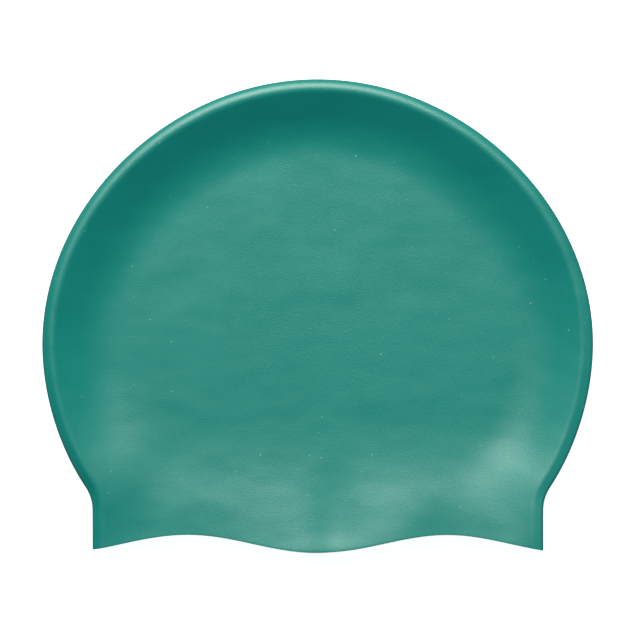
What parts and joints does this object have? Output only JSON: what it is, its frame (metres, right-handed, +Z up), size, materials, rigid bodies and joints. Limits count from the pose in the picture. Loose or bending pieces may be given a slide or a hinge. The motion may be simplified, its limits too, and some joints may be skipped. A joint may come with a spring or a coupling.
{
  "type": "swim cap",
  "caption": "Moulded silicone swim cap, empty and lying flat: a thin hollow dome with a stiff rounded rim and a scalloped open mouth.",
  "frame": {"origin": "on the surface the cap lies on, under the middle of its box", "axes": "+X across the mouth, along the widest line, +Y from the mouth to the crown, +Z up, through the two layers, from the back that the cap lies on to the front"},
  "size_m": [0.22, 0.1891, 0.0199],
  "materials": {
    "silicone": "satin moulded silicone rubber in deep teal green"
  },
  "bodies": {
    "root": {"cap_shell": "silicone"}
  },
  "joints": []
}
